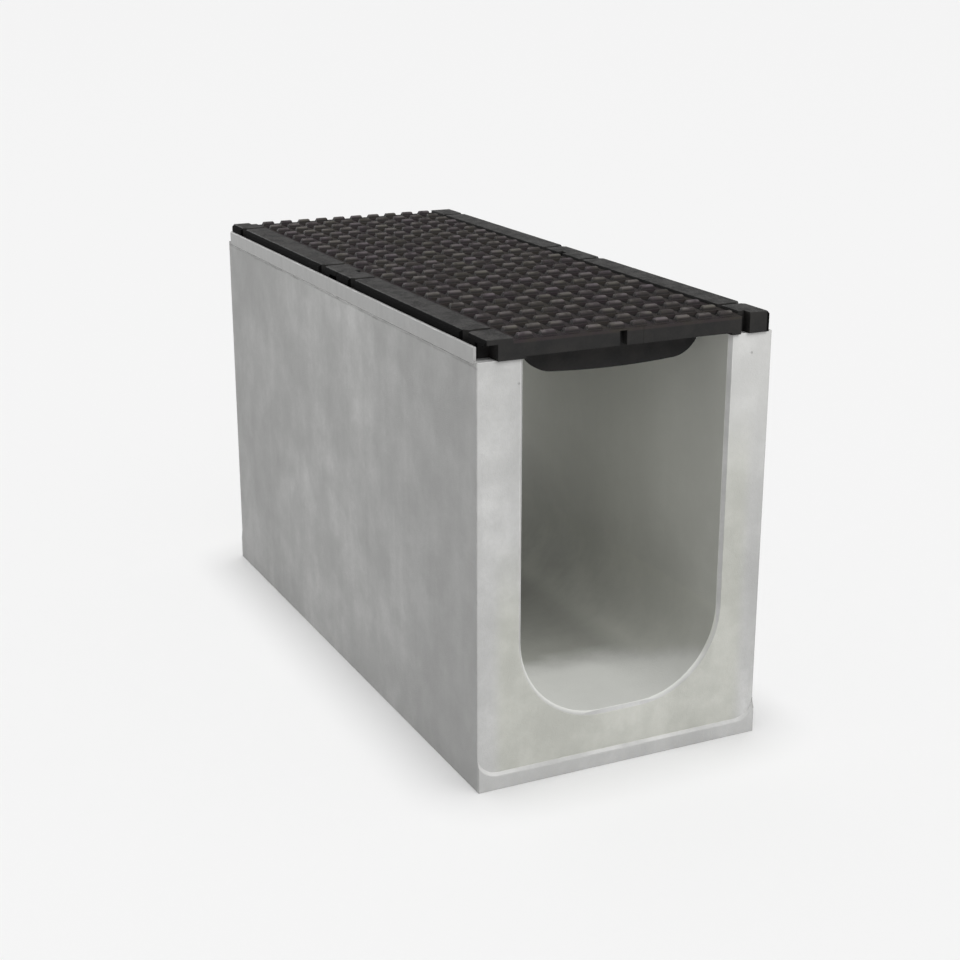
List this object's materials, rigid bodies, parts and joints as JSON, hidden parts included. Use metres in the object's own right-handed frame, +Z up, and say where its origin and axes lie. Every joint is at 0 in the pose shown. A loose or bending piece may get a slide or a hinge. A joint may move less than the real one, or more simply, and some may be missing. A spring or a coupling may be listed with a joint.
{
  "type": "channel drain",
  "caption": "Precast concrete U-shaped drainage channel with steel edge rails and black cast-iron mesh grates lying in its top.",
  "frame": {"origin": "middle of the footprint, on the ground under the channel", "axes": "+X across the channel, +Y along the water's way, away from the end that is shown, +Z up"},
  "size_m": [0.43, 1, 0.608],
  "materials": {
    "concrete": "matte fair-faced precast concrete with fine pores",
    "rail_steel": "dull galvanised steel",
    "grate_iron": "black dip-coated ductile iron, satin"
  },
  "bodies": {
    "root": {"channel_body": "concrete", "left_edge_rail": "rail_steel", "right_edge_rail": "rail_steel", "grate_front": "grate_iron", "grate_rear": "grate_iron"}
  },
  "joints": []
}
